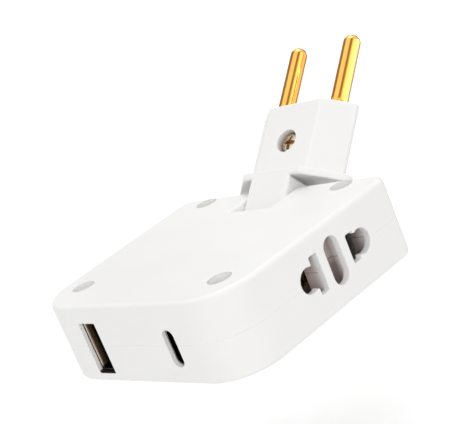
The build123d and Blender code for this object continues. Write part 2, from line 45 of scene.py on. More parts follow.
# The plug in the rest pose: how far its pins lean back from upright, the way they and its front
# face point, and the seat of its screw, measured from the swivel along the pins and forward
plugPlace = {"lean": np.radians(48.5), "screwLevel": 22.1, "screwForward": 3.3}
leanAngle = plugPlace["lean"]
plugAxis = (0.0, np.sin(leanAngle), np.cos(leanAngle))
plugFacing = (0.0, -np.cos(leanAngle), np.sin(leanAngle))
hingePoint = np.array(frame["record"]["behaviour"]["joints"][0]["pos_m"]) / mm
plugScrewSeat = hingePoint + plugPlace["screwLevel"] * np.array(plugAxis)
plugScrewSeat = plugScrewSeat + plugPlace["screwForward"] * np.array(plugFacing)
# Where the case screws of the right half stand, front and back; the left half mirrors them
caseScrewSpots = np.array(((23.9, -19.9), (23.6, 26.7)))

# Layers in each kind of noise, and the span that most of its values lie in
noiseLayers = {"wave": 1.0, "lines": 2.0, "cloud": 3.0, "speckle": 4.0}
noiseLow, noiseHigh = 0.3, 0.7
# Places of the colour sockets on a Mix node
mixSocket = {"first": 6, "second": 7, "result": 2}


# Node helpers: an empty tree, then a material with a Principled shader and Object coordinates
def emptyTree(owner):
    owner.use_nodes = True
    owner.node_tree.nodes.clear()
    return owner.node_tree


def startMaterial(name):
    material = bpy.data.materials.new(name)
    tree = emptyTree(material)
    out = tree.nodes.new("ShaderNodeOutputMaterial")
    shader = tree.nodes.new("ShaderNodeBsdfPrincipled")
    tree.links.new(shader.outputs["BSDF"], out.inputs["Surface"])
    coords = tree.nodes.new("ShaderNodeTexCoord")
    return material, tree, shader, coords.outputs["Object"]


def addNoise(tree, place, scale, kind, rough=0.5):
    noise = tree.nodes.new("ShaderNodeTexNoise")
    noise.inputs["Scale"].default_value = scale
    noise.inputs["Detail"].default_value = noiseLayers[kind]
    noise.inputs["Roughness"].default_value = rough
    tree.links.new(place, noise.inputs["Vector"])
    return noise.outputs["Fac"]


def addRange(tree, value, low, high, fromLow=noiseLow, fromHigh=noiseHigh):
    spread = tree.nodes.new("ShaderNodeMapRange")
    limits = {"From Min": fromLow, "From Max": fromHigh, "To Min": low, "To Max": high}
    for socket, number in limits.items():
        spread.inputs[socket].default_value = number
    tree.links.new(value, spread.inputs["Value"])
    return spread.outputs["Result"]


def addTwoTone(tree, value, first, second, fromLow=noiseLow, fromHigh=noiseHigh):
    ramp = tree.nodes.new("ShaderNodeValToRGB")
    ramp.color_ramp.elements[0].position = fromLow
    ramp.color_ramp.elements[1].position = fromHigh
    ramp.color_ramp.elements[0].color = (*first, 1)
    ramp.color_ramp.elements[1].color = (*second, 1)
    tree.links.new(value, ramp.inputs["Fac"])
    return ramp.outputs["Color"]


def addBump(tree, shader, height, distance, after=None):
    bump = tree.nodes.new("ShaderNodeBump")
    bump.inputs["Distance"].default_value = distance
    tree.links.new(height, bump.inputs["Height"])
    if after is not None:
        tree.links.new(after, bump.inputs["Normal"])
    tree.links.new(bump.outputs["Normal"], shader.inputs["Normal"])
    return bump.outputs["Normal"]


def addMath(tree, operation, *values):
    step = tree.nodes.new("ShaderNodeMath")
    step.operation = operation
    for socket, value in zip(step.inputs, values):
        if isinstance(value, (int, float)):
            socket.default_value = value
        else:
            tree.links.new(value, socket)
    return step.outputs["Value"]


def splitPlace(tree, place):
    split = tree.nodes.new("ShaderNodeSeparateXYZ")
    tree.links.new(place, split.inputs["Vector"])
    return split.outputs


def addTint(tree, skin, share, tone):
    blend = tree.nodes.new("ShaderNodeMix")
    blend.data_type = "RGBA"
    tree.links.new(share, blend.inputs["Factor"])
    tree.links.new(skin, blend.inputs[mixSocket["first"]])
    blend.inputs[mixSocket["second"]].default_value = (*tone, 1)
    return blend.outputs[mixSocket["result"]]


# White moulded plastic: a cloudy near-white, a fine spark-eroded grain and a slow unevenness
whitePlastic = {
    "light": (0.880, 0.874, 0.864),
    "shade": (0.862, 0.856, 0.846),
    "cloudScale": 60.0,
    "grainScale": 5200.0,
    "grainRough": 0.6,
    "grainDepth": 0.003 * mm,
    "waveScale": 90.0,
    "waveDepth": 0.02 * mm,
    "gloss": (0.36, 0.46),
    "ior": 1.5,
}
# Tones over the white, all painted shade or painted light. Behind the socket faces the moulding
# is painted darker, as painted shade: the depths where that begins and ends, and a box round
# the socket. At the rims of the holes it is painted pale, as painted light
socketShade = {
    "tone": (0.44, 0.355, 0.335),
    "sideHalf": 33.65 * mm,
    "sideSlope": 0.0541,
    "depth": (1.5 * mm, 4.8 * mm),
    "end": (18.0 * mm, 20.0 * mm),
    "middle": (5.0 * mm, 10.0 * mm),
    "reach": (15.0 * mm, 7.4 * mm),
    "soft": 0.6 * mm,
}
socketRimLight = dict(
    socketShade, tone=(0.985, 0.976, 0.966),
    depth=(0.05 * mm, 0.25 * mm), end=(5.0 * mm, 7.0 * mm),
)
# More painted shade lies in the lower half of the middle slot, and less on the wall of the front
# hole
slotShade = dict(
    socketShade, tone=(0.25, 0.195, 0.185), depth=(2.6 * mm, 4.4 * mm),
    middle=(5.2 * mm, 6.6 * mm), reach=(2.6 * mm, 1.6 * mm), soft=2.6 * mm,
)
frontHoleShade = dict(
    socketShade, tone=(0.90, 0.745, 0.715),
    middle=(-2.0 * mm, 10.0 * mm), reach=(2.6 * mm, 7.4 * mm),
)
# Behind the port mouths it is painted black, as painted shade, from a little way in, and painted
# pale before that, as painted light. The sill under the large port is painted black right
# behind the face, as painted shade
portShade = {
    "tone": (0.030, 0.022, 0.016),
    "depth": (-29.55 * mm, -29.40 * mm),
    "end": (-26.5 * mm, -26.0 * mm),
    "mirrored": True,
    "middle": (13.4 * mm, 9.0 * mm),
    "reach": (3.6 * mm, 7.0 * mm),
    "soft": 0.3 * mm,
}
portRimLight = dict(
    portShade, tone=(0.975, 0.966, 0.955), depth=(-30.48 * mm, -30.38 * mm),
)
portSillShade = dict(
    portShade, depth=(-30.45 * mm, -30.30 * mm), mirrored=False,
    middle=(-13.5 * mm, 2.0 * mm), reach=(3.6 * mm, 0.8 * mm),
)
# The walls of the notch, the screw recesses and the groove where the shells meet are painted
# pale too, as painted light
notchLight = dict(
    portRimLight, depth=(17.45 * mm, 17.55 * mm), end=(31.0 * mm, 32.0 * mm),
    middle=(0.0, 9.8 * mm), reach=(7.25 * mm, 9.9 * mm), soft=0.1 * mm,
)
recessLight = {
    "tone": (0.975, 0.966, 0.955),
    "reach": 3.0 * mm,
    "soft": 0.2 * mm,
    "depth": (19.95 * mm, 19.6 * mm),
}
seamLight = {
    "tone": (0.99, 0.985, 0.98),
    "level": 10.0 * mm,
    "reach": 0.075 * mm,
    "soft": 0.02 * mm,
}
# Round the plug's screw the moulding is painted darker, more so towards the screw: painted shade
screwShade = {
    "tone": (0.42, 0.345, 0.31),
    "reach": 3.25 * mm,
    "soft": 0.05 * mm,
    "depth": (3.0 * mm, 0.4 * mm),
    "end": (-0.5 * mm, -1.0 * mm),
}
# The flange's underside is painted dark where the case comes close to it: painted shade
flangeShadow = {
    "tone": (0.20, 0.19, 0.195),
    "near": 5.0 * mm,
    "open": (0.22, 0.80),
    "level": 10.45 * mm,
    "reach": 0.25 * mm,
    "soft": 0.2 * mm,
}


# One within a reach of a middle, falling to nothing over a soft border
def addNear(tree, value, middle, reach, soft):
    away = addMath(tree, "ABSOLUTE", addMath(tree, "SUBTRACT", value, middle))
    return addRange(tree, away, 1.0, 0.0, reach, reach + soft)


# One from a beginning to an end, each given as the two places that the change runs between
def addSpan(tree, value, begin, end):
    rise = addRange(tree, value, 0.0, 1.0, *begin)
    return addMath(tree, "MULTIPLY", rise, addRange(tree, value, 1.0, 0.0, *end))


# A span of depth, kept to a band round the middle in each of two other directions
def addPocket(tree, depth, sideways, paint):
    inside = addSpan(tree, depth, paint["depth"], paint["end"])
    for value, middle, reach in zip(sideways, paint["middle"], paint["reach"]):
        band = addNear(tree, value, middle, reach, paint["soft"])
        inside = addMath(tree, "MULTIPLY", inside, band)
    return inside


# Depth behind a slanting side = half width there less the distance from the middle
def addSocketDepth(tree, place, paint):
    split = splitPlace(tree, place)
    halfWidth = addMath(tree, "MULTIPLY_ADD", split["Y"], paint["sideSlope"], paint["sideHalf"])
    depth = addMath(tree, "SUBTRACT", halfWidth, addMath(tree, "ABSOLUTE", split["X"]))
    return addPocket(tree, depth, (split["Y"], split["Z"]), paint)


# Depth from front to back, at one place across or, mirrored, on each side of the middle
def addPortDepth(tree, place, paint):
    split = splitPlace(tree, place)
    across = addMath(tree, "ABSOLUTE", split["X"]) if paint["mirrored"] else split["X"]
    return addPocket(tree, split["Y"], (across, split["Z"]), paint)


# Nearness to the nearest of the upright screw axes, from a little way under the top
def addRecess(tree, place, look):
    split = splitPlace(tree, place)
    plan = tree.nodes.new("ShaderNodeCombineXYZ")
    tree.links.new(addMath(tree, "ABSOLUTE", split["X"]), plan.inputs["X"])
    tree.links.new(split["Y"], plan.inputs["Y"])
    nearest = None
    for x, y in caseScrewSpots * mm:
        gap = tree.nodes.new("ShaderNodeVectorMath")
        gap.operation = "DISTANCE"
        tree.links.new(plan.outputs["Vector"], gap.inputs[0])
        gap.inputs[1].default_value = (x, y, 0.0)
        away = gap.outputs["Value"]
        nearest = away if nearest is None else addMath(tree, "MINIMUM", nearest, away)
    near = addNear(tree, nearest, 0.0, look["reach"], look["soft"])
    return addMath(tree, "MULTIPLY", near, addRange(tree, split["Z"], 0.0, 1.0, *look["depth"]))


def addSeam(tree, place, look):
    height = splitPlace(tree, place)["Z"]
    return addNear(tree, height, look["level"], look["reach"], look["soft"])


# The plug's own directions from a point: across, along the pins and forward
def addPlugPlace(tree, place, start):
    turned = tree.nodes.new("ShaderNodeMapping")
    turned.vector_type = "TEXTURE"
    turned.inputs["Location"].default_value = Vector(start) * mm
    turned.inputs["Rotation"].default_value = (np.pi / 2 - leanAngle, 0, 0)
    tree.links.new(place, turned.inputs["Vector"])
    return splitPlace(tree, turned.outputs["Vector"])


# Nearness to the plug's screw axis, growing from the face down to the screw's seat
def addScrewDepth(tree, place, paint):
    split = addPlugPlace(tree, place, plugScrewSeat)
    squares = [addMath(tree, "POWER", split[axis], 2.0) for axis in "XY"]
    away = addMath(tree, "SQRT", addMath(tree, "ADD", *squares))
    near = addNear(tree, away, 0.0, paint["reach"], paint["soft"])
    return addMath(tree, "MULTIPLY", near, addSpan(tree, split["Z"], paint["depth"], paint["end"]))


# How much of the space before a point is shut off by something near it, at one level of the plug
def addFlangeShade(tree, place, look):
    level = addPlugPlace(tree, place, hingePoint)["Y"]
    band = addNear(tree, level, look["level"], look["reach"], look["soft"])
    space = tree.nodes.new("ShaderNodeAmbientOcclusion")
    space.inputs["Distance"].default_value = look["near"]
    shut = addRange(tree, space.outputs["AO"], 1.0, 0.0, *look["open"])
    return addMath(tree, "MULTIPLY", band, shut)


# Each tone, painted shade or painted light, lies over those before it
caseTints = (
    (addSeam, seamLight), (addSocketDepth, socketRimLight), (addSocketDepth, socketShade),
    (addSocketDepth, slotShade), (addSocketDepth, frontHoleShade), (addRecess, recessLight),
    (addPortDepth, notchLight), (addPortDepth, portRimLight), (addPortDepth, portShade),
    (addPortDepth, portSillShade),
)
plugTints = ((addFlangeShade, flangeShadow), (addScrewDepth, screwShade))


def makeWhitePlastic(name, look, tints):
    material, tree, shader, place = startMaterial(name)
    cloud = addNoise(tree, place, look["cloudScale"], "cloud")
    skin = addTwoTone(tree, cloud, look["shade"], look["light"])
    # Painted shade and painted light over the cloudy white
    for addMask, tint in tints:
        skin = addTint(tree, skin, addMask(tree, place, tint), tint["tone"])
    tree.links.new(skin, shader.inputs["Base Color"])
    grain = addNoise(tree, place, look["grainScale"], "cloud", look["grainRough"])
    tree.links.new(addRange(tree, grain, *look["gloss"]), shader.inputs["Roughness"])
    wave = addNoise(tree, place, look["waveScale"], "wave")
    slow = addBump(tree, shader, wave, look["waveDepth"])
    addBump(tree, shader, grain, look["grainDepth"], slow)
    shader.inputs["IOR"].default_value = look["ior"]
    return material


# Metal: two tones of the metal, drawn or turned lines across one direction, a few dull patches,
# and on some a clear lacquer or painted shade in the places that the piece names
def makeMetal(name, look):
    material, tree, shader, place = startMaterial(name)
    turned = tree.nodes.new("ShaderNodeMapping")
    turned.vector_type = "TEXTURE"  # turns first, then stretches
    turned.inputs["Rotation"].default_value = look["turn"]
    turned.inputs["Scale"].default_value = look["stretch"]
    tree.links.new(place, turned.inputs["Vector"])
    lines = addNoise(tree, turned.outputs["Vector"], look["lineScale"], "lines")
    patches = addNoise(tree, place, look["patchScale"], "cloud")
    skin = addTwoTone(tree, patches, look["dark"], look["light"])
    # Painted shade in the hollows that the piece names, from its point attribute
    if "hollowShade" in look:
        shaded = tree.nodes.new("ShaderNodeAttribute")
        shaded.attribute_name = "hollowShade"
        skin = addTint(tree, skin, shaded.outputs["Fac"], look["hollowShade"])
    tree.links.new(skin, shader.inputs["Base Color"])
    tree.links.new(addRange(tree, patches, *look["gloss"]), shader.inputs["Roughness"])
    addBump(tree, shader, lines, look["lineDepth"])
    shader.inputs["Metallic"].default_value = 1.0
    for socket, value in look.get("lacquer", {}).items():
        shader.inputs[socket].default_value = value
    return material


# Port metal: bright tin at the mouth, painted darker a little way in and black further in and low
# down, as painted shade, with drawn lines along the port
def makePortMetal(name, look):
    material, tree, shader, place = startMaterial(name)
    split = splitPlace(tree, place)
    stain = addNoise(tree, place, look["stainScale"], "cloud")
    edge = addMath(tree, "MULTIPLY_ADD", stain, look["stainReach"], split["Y"])
    turning = addRange(tree, edge, 0.0, 1.0, *look["turnsAt"])
    skin = addTwoTone(tree, turning, look["mouth"], look["deep"], 0.0, 1.0)
    further = addRange(tree, split["Y"], 0.0, 1.0, *look["darkAt"])
    lower = addRange(tree, split["Z"], 0.0, 1.0, *look["lowAt"])
    skin = addTint(tree, skin, addMath(tree, "MAXIMUM", further, lower), look["inmost"])
    tree.links.new(skin, shader.inputs["Base Color"])
    tree.links.new(addRange(tree, stain, *look["gloss"]), shader.inputs["Roughness"])
    turned = tree.nodes.new("ShaderNodeMapping")
    turned.inputs["Scale"].default_value = look["stretch"]
    tree.links.new(place, turned.inputs["Vector"])
    lines = addNoise(tree, turned.outputs["Vector"], look["lineScale"], "lines")
    addBump(tree, shader, lines, look["lineDepth"])
    shader.inputs["Metallic"].default_value = look["metal"]
    return material


# Dull moulded or coated surface: speckled colour and a fine tooth
speckleRough = 0.65


def makeDull(name, look):
    material, tree, shader, place = startMaterial(name)
    speckle = addNoise(tree, place, look["speckleScale"], "speckle", speckleRough)
    skin = addTwoTone(tree, speckle, look["dark"], look["light"])
    tree.links.new(skin, shader.inputs["Base Color"])
    tree.links.new(addRange(tree, speckle, *look["gloss"]), shader.inputs["Roughness"])
    addBump(tree, shader, speckle, look["tooth"])
    return material


metalLooks = {
    "pinBrass": {
        "dark": (0.93, 0.41, 0.03), "light": (0.97, 0.46, 0.045), "turn": (-leanAngle, 0, 0),
        "stretch": (30.0, 30.0, 1.0), "lineScale": 9000.0, "lineDepth": 0.0001 * mm,
        "patchScale": 160.0, "gloss": (0.09, 0.12),
        "lacquer": {"Coat Weight": 1.0, "Coat Roughness": 0.1, "Coat IOR": 1.7},
    },
    "springBronze": {
        "dark": (0.42, 0.26, 0.12), "light": (0.60, 0.40, 0.20), "turn": (0, 0, 0),
        "stretch": (10.0, 1.0, 1.0), "lineScale": 5000.0, "lineDepth": 0.004 * mm,
        "patchScale": 300.0, "gloss": (0.25, 0.4),
    },
    # The screws are painted darker in the cross and under the rim: painted shade
    "screwSteel": {
        "dark": (0.40, 0.28, 0.19), "light": (0.80, 0.69, 0.56), "turn": (0, 0, 0),
        "stretch": (1.0, 1.0, 5.0), "lineScale": 6000.0, "lineDepth": 0.001 * mm,
        "patchScale": 900.0, "gloss": (0.16, 0.30), "hollowShade": (0.46, 0.32, 0.21),
    },
    "canSleeve": {
        "dark": (0.10, 0.10, 0.13), "light": (0.16, 0.16, 0.20), "turn": (0, 0, 0),
        "stretch": (1.0, 1.0, 10.0), "lineScale": 3000.0, "lineDepth": 0.005 * mm,
        "patchScale": 300.0, "gloss": (0.3, 0.45),
    },
}
# The port tones darken further in and low down: painted shade
portLooks = {
    "portTin": {
        "mouth": (0.62, 0.52, 0.44), "deep": (0.26, 0.172, 0.092),
        "inmost": (0.003, 0.002, 0.0015), "turnsAt": (-29.0 * mm, -28.6 * mm),
        "darkAt": (-28.8 * mm, -27.3 * mm), "lowAt": (4.3 * mm, 3.5 * mm),
        "metal": 0.4, "gloss": (0.34, 0.48), "stainScale": 700.0, "stainReach": 0.3 * mm,
        "stretch": (1.0, 0.1, 1.0), "lineScale": 5000.0, "lineDepth": 0.002 * mm,
    },
    "portDark": {
        "mouth": (0.34, 0.28, 0.24), "deep": (0.012, 0.010, 0.008),
        "inmost": (0.006, 0.005, 0.004), "turnsAt": (-29.45 * mm, -29.2 * mm),
        "darkAt": (-29.0 * mm, -27.0 * mm), "lowAt": (1.0 * mm, 0.5 * mm),
        "metal": 1.0, "gloss": (0.30, 0.44), "stainScale": 700.0, "stainReach": 0.1 * mm,
        "stretch": (1.0, 0.1, 1.0), "lineScale": 5000.0, "lineDepth": 0.002 * mm,
    },
}
dullLooks = {
    "tongueBlack": {
        "dark": (0.010, 0.010, 0.010), "light": (0.028, 0.027, 0.026),
        "speckleScale": 2600.0, "gloss": (0.4, 0.6), "tooth": 0.006 * mm,
    },
    "boardGreen": {
        "dark": (0.020, 0.075, 0.030), "light": (0.040, 0.130, 0.055),
        "speckleScale": 900.0, "gloss": (0.3, 0.45), "tooth": 0.01 * mm,
    },
    "ferrite": {
        "dark": (0.035, 0.035, 0.037), "light": (0.075, 0.075, 0.078),
        "speckleScale": 1600.0, "gloss": (0.55, 0.75), "tooth": 0.02 * mm,
    },
    "chipBlack": {
        "dark": (0.018, 0.018, 0.019), "light": (0.040, 0.040, 0.042),
        "speckleScale": 3000.0, "gloss": (0.5, 0.7), "tooth": 0.008 * mm,
    },
}
finishes = {
    "whiteCase": makeWhitePlastic("whiteCase", whitePlastic, caseTints),
    "whitePlug": makeWhitePlastic("whitePlug", whitePlastic, plugTints),
}
finishes.update({name: makeMetal(name, look) for name, look in metalLooks.items()})
finishes.update({name: makePortMetal(name, look) for name, look in portLooks.items()})
finishes.update({name: makeDull(name, look) for name, look in dullLooks.items()})
print("finishes made:", len(finishes))

# The carried-over nodes that each finish is for; contacts, strips and leads take the other one
nodeFinish = {
    "whiteCase": ["lower_shell", "upper_shell"],
    "whitePlug": ["plug_front", "plug_rear"],
    "pinBrass": ["live_pin", "neutral_pin"],
    "screwSteel": [
        "case_screws", "plug_screw", "friction_washers", "live_trunnion", "neutral_trunnion",
    ],
    "portTin": ["usb_a_shell"],
    "portDark": ["usb_c_shell"],
    "tongueBlack": ["usb_a_tongue", "usb_c_tongue"],
    "boardGreen": ["charger_board"],
    "ferrite": ["transformer"],
    "canSleeve": ["input_capacitors", "output_capacitors"],
    "chipBlack": ["bridge_rectifier", "controller_chip", "fuse"],
}
otherFinish = "springBronze"
finishOf = {node: name for name, members in nodeFinish.items() for node in members}
for node, piece in nodes.items():
    piece.data.materials.clear()
    piece.data.materials.append(finishes[finishOf.get(node, otherFinish)])
print("finishes set on the carried-over nodes")

sharpOver = np.radians(40)  # edges that turn more than this stay sharp


def makePiece(name, points, faces, finish):
    mesh = bpy.data.meshes.new(name)
    mesh.from_pydata(points.tolist(), [], faces)
    mesh.shade_smooth()
    mesh.set_sharp_from_angle(angle=sharpOver)
    mesh.materials.append(finishes[finish])
    piece = bpy.data.objects.new(name, mesh)
    bpy.context.scene.collection.objects.link(piece)
    return piece


# Closed surfaces from rings of points: row by row round the axis, each end drawn in to one point
def makeRinged(name, rings, finish, hollowShade=None):
    shapes, rows, around = rings.shape[:3]
    ends = rings.mean(axis=2)
    middle = rings.reshape(shapes, rows * around, 3)
    points = np.concatenate((ends[:, :1], middle, ends[:, -1:]), axis=1).reshape(-1, 3)
    base = np.arange(shapes)[:, None, None] * (rows * around + 2)
    ring = base + 1 + np.arange(rows * around).reshape(rows, around)
    after = np.roll(ring, -1, axis=2)
    sides = np.stack((ring[:, :-1], ring[:, 1:], after[:, 1:], after[:, :-1]), axis=-1)
    pole = np.broadcast_to(base[:, 0], (shapes, around))
    top = np.stack((pole, ring[:, 0], after[:, 0]), axis=-1)
    foot = np.stack((pole + rows * around + 1, after[:, -1], ring[:, -1]), axis=-1)
    faces = sides.reshape(-1, 4).tolist() + top.reshape(-1, 3).tolist()
    piece = makePiece(name, points, faces + foot.reshape(-1, 3).tolist(), finish)
    # The painted shade of each point is kept as an attribute
    if hollowShade is not None:
        edges = hollowShade.mean(axis=2)
        inner = hollowShade.reshape(shapes, -1)
        values = np.concatenate((edges[:, :1], inner, edges[:, -1:]), axis=1).ravel()
        piece.data.attributes.new("hollowShade", "FLOAT", "POINT").data.foreach_set("value", values)
    return piece


# Places given as (across, away, up) from a foot point, with up along an axis and away square to it
def placeRings(local, foot, axis):
    up = np.array(axis, float) / np.linalg.norm(axis)
    across = np.array((1.0, 0.0, 0.0))
    away = np.cross(up, across)
    turned = local[..., :1] * across + local[..., 1:2] * away + local[..., 2:] * up
    return (np.array(foot) + turned) * mm


# Round pins: levels are measured from the swivel along the pin
pinLook = {
    "side": 9.5, "around": 96, "tailFoot": 22.35, "collarFoot": 26.95, "neckFoot": 31.45,
    "face": 33.25, "tip": 54.54, "tailR": 1.8, "collarR": 2.68, "neckR": 2.2, "pinR": 2.4,
    "tipRound": 2.1, "tipSteps": 14, "tipLead": 0.3, "shaftSteps": 6, "edge": 0.15,
    "faceEdge": 0.03, "faceDrop": 0.02, "faceRise": 0.05,
}


# Turned pin = a profile of radius and level spun round its axis; the end is a quarter circle to
# a small flat
def makePin(name, node, side, look):
    bend = np.linspace(0, np.pi / 2, look["tipSteps"])
    flat = look["pinR"] - look["tipRound"]
    tipR = flat + look["tipRound"] * np.cos(bend)
    tipLevel = look["tip"] - look["tipRound"] * (1 - np.sin(bend))
    edge, tailR, collarR = look["edge"], look["tailR"], look["collarR"]
    seat = np.array((
        (tailR - edge, look["tailFoot"]), (tailR, look["tailFoot"] + edge),
        (tailR, look["collarFoot"]), (collarR - edge, look["collarFoot"]),
        (collarR, look["collarFoot"] + edge), (collarR, look["neckFoot"] - edge),
        (collarR - edge, look["neckFoot"]), (look["neckR"], look["neckFoot"]),
        (look["neckR"], look["face"] - look["faceDrop"]),
        (look["pinR"] - look["faceEdge"], look["face"]),
    ))
    shaft = np.linspace(
        look["face"] + look["faceRise"], tipLevel[0] - look["tipLead"], look["shaftSteps"],
    )
    radius = np.concatenate((seat[:, 0], np.full_like(shaft, look["pinR"]), tipR))[::-1, None]
    level = np.concatenate((seat[:, 1], shaft, tipLevel))[::-1, None]
    turn = np.linspace(0, 2 * np.pi, look["around"], endpoint=False)
    local = np.stack((radius * np.cos(turn), radius * np.sin(turn), level + 0 * turn), axis=-1)
    foot = hingePoint + np.array((side * look["side"], 0, 0))
    pin = makeRinged(name, placeRings(local, foot, plugAxis)[None], "pinBrass")
    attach(pin, "plug")
    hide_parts(node)


makePin("livePin", "live_pin", 1, pinLook)
makePin("neutralPin", "neutral_pin", -1, pinLook)
print("pins turned")

# Self-tapping screws: a low dome with a cross drive, a flat underside and a threaded shank.
# The drive's flare is its width at the middle and what it loses towards its ends
screwLook = {
    "around": 96, "innerR": 0.03, "domeSteps": 34, "headR": 2.65, "headHeight": 2.25,
    "crown": 0.55, "rim": 0.35, "rimSteps": 6, "rimFrom": 0.25, "rimFall": 1.4, "footEdge": 0.1,
    "driveHalf": 1.95, "driveWidth": 0.46, "driveFlare": (1.15, 0.35), "driveDepth": 1.25,
    "driveSoft": 0.24, "driveEnd": 1.6, "coreR": 1.08, "threadR": 1.38, "pitch": 1.1,
    "shankFrom": 0.15, "shankSteps": 56, "pointPitches": 1.6, "pointShare": 0.02,
    # Where the painted shade under the rim begins below its top, and how softly it grows
    "hollowShadeDrop": 0.25, "hollowShadeSoft": 0.5,
}
caseScrewCut = {"seat": 12.5, "length": 8.4, "twists": (0.3, 1.1, 0.7, 0.05)}
plugScrewCut = {"length": 7.7, "twist": 0.12}


# Head = flattened dome less a cross: depth falls away past half the slot's width and towards its
# ends. Shank = core radius plus a ridge that climbs one pitch in each turn, tapering to a point.
# The painted shade is how deep a point lies in the cross, and whole under the rim.
def screwRings(look, length, twist):
    turn = np.linspace(0, 2 * np.pi, look["around"], endpoint=False)
    inner = np.linspace(look["innerR"], look["headR"] - look["rim"], look["domeSteps"])[:, None]
    dome = look["headHeight"] - look["crown"] * (inner / look["headR"]) ** 2
    x = np.abs(inner * np.cos(turn + twist))
    y = np.abs(inner * np.sin(turn + twist))
    longWay, acrossWay = np.maximum(x, y), np.minimum(x, y)
    wide, loss = look["driveFlare"]
    width = look["driveWidth"] * (wide - loss * longWay / look["driveHalf"])
    walls = np.clip((width - acrossWay) / look["driveSoft"] + 0.5, 0, 1)
    endSoft = look["driveEnd"] * look["driveSoft"]
    ends = np.clip((look["driveHalf"] - longWay) / endSoft, 0, 1)
    headLevel = dome - look["driveDepth"] * walls * ends
    rimTop = dome[-1]
    bend = np.linspace(look["rimFrom"], np.pi / 2, look["rimSteps"])
    rimR = look["headR"] - look["rim"] * (1 - np.sin(bend))
    rimLevel = rimTop - look["rim"] * (1 - np.cos(bend)) * look["rimFall"]
    underR = (look["headR"], look["headR"] - look["footEdge"], look["coreR"])
    sideR = np.concatenate((rimR, underR))[:, None]
    sideLevel = np.concatenate((rimLevel, (look["footEdge"], 0, 0)))[:, None]
    down = np.linspace(look["shankFrom"], length, look["shankSteps"])[:, None]
    ridge = np.clip(np.cos(2 * np.pi * down / look["pitch"] + turn), 0, 1) ** 2
    pointLength = look["pointPitches"] * look["pitch"]
    taper = np.clip((length - down) / pointLength, look["pointShare"], 1)
    shankR = (look["coreR"] + (look["threadR"] - look["coreR"]) * ridge) * taper
    radius = np.concatenate((inner + 0 * turn, sideR + 0 * turn, shankR))
    level = np.concatenate((headLevel, sideLevel + 0 * turn, -down + 0 * turn))
    underRim = np.clip((rimTop - look["hollowShadeDrop"] - sideLevel) / look["hollowShadeSoft"], 0, 1)
    hollowShade = np.concatenate((walls * ends, underRim + 0 * turn, np.ones_like(shankR)))
    return np.stack((radius * np.cos(turn), radius * np.sin(turn), level), axis=-1), hollowShade


def makeScrews():
    corners = [(side * x, y, caseScrewCut["seat"]) for x, y in caseScrewSpots for side in (-1, 1)]
    cuts = [screwRings(screwLook, caseScrewCut["length"], t) for t in caseScrewCut["twists"]]
    rings = [placeRings(cut[0], corner, (0, 0, 1)) for cut, corner in zip(cuts, corners)]
    hollowShade = np.array([cut[1] for cut in cuts])
    screws = makeRinged("caseScrews", np.array(rings), "screwSteel", hollowShade)
    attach(screws, "case")
    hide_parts("case_screws")
    local, hollowShade = screwRings(screwLook, plugScrewCut["length"], plugScrewCut["twist"])
    rings = placeRings(local, plugScrewSeat, plugFacing)
    screw = makeRinged("plugScrew", rings[None], "screwSteel", hollowShade[None])
    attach(screw, "plug")
    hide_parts("plug_screw")


makeScrews()
print("screws cut")

# Folded shell of the large port, with its front edge rolled over to a thicker lip
shellLook = {
    "middle": (-13.5, -29.5, 9.0), "width": 5.4, "height": 12.8, "length": 14.0, "corner": 0.55,
    "metal": 0.3, "lip": (0.12, 0.50), "lipLength": 0.45, "lipSlope": 0.25, "roll": 9,
    "cornerSteps": 7,
}


# Tube = a closed wall profile of (inset, depth) carried round a rectangle with round corners.
# The inset moves each point in along the outward direction there, so the corners stay round.
def makePortShell(look):
    lipOut, lipIn = look["lip"]
    lipR = (lipIn - lipOut) / 2
    bend = np.linspace(0, np.pi, look["roll"])
    rollInset, rollDepth = lipOut + lipR * (1 - np.cos(bend)), lipR * (1 - np.sin(bend))
    metal, length = look["metal"], look["length"]
    lipEnd = look["lipLength"]
    behind = lipEnd + look["lipSlope"]
    inset = np.concatenate(((0, lipOut), rollInset, (lipIn, metal, metal, 0)))
    depth = np.concatenate(((behind, lipEnd), rollDepth, (lipEnd, behind, length, length)))
    quarter = np.linspace(0, np.pi / 2, look["cornerSteps"])
    turn = (np.arange(4)[:, None] * np.pi / 2 + quarter).ravel()
    signX = np.repeat((1, -1, -1, 1), look["cornerSteps"])
    signZ = np.repeat((1, 1, -1, -1), look["cornerSteps"])
    outX, outZ = np.cos(turn), np.sin(turn)
    pathX = signX * (look["width"] / 2 - look["corner"]) + look["corner"] * outX
    pathZ = signZ * (look["height"] / 2 - look["corner"]) + look["corner"] * outZ
    x = look["middle"][0] + pathX[:, None] - inset * outX[:, None]
    y = look["middle"][1] + depth + 0 * pathX[:, None]
    z = look["middle"][2] + pathZ[:, None] - inset * outZ[:, None]
    points = np.stack((x, y, z), axis=-1).reshape(-1, 3) * mm
    index = np.arange(x.size).reshape(x.shape)
    after, beside = np.roll(index, -1, axis=0), np.roll(index, -1, axis=1)
    faces = np.stack((index, beside, np.roll(after, -1, axis=1), after), axis=-1)
    shell = makePiece("portShell", points, faces.reshape(-1, 4).tolist(), "portTin")
    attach(shell, "case")
    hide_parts("usb_a_shell")


makePortShell(shellLook)
print("port shell folded")

# Camera at the photograph's place, in the frame's millimetres
cameraLook = {
    "eye": (195.95, -166.84, 90.96),
    "right": (0.695, 0.61834, -0.36691),
    "down": (-0.08455, -0.43647, -0.89574),
    "ahead": (-0.71402, 0.65356, -0.25107),
    "focalPixels": 1120.8,
    "imageWidth": 464,
    "sensorWidth": 36.0,
    "clip": (0.01, 20.0),
}


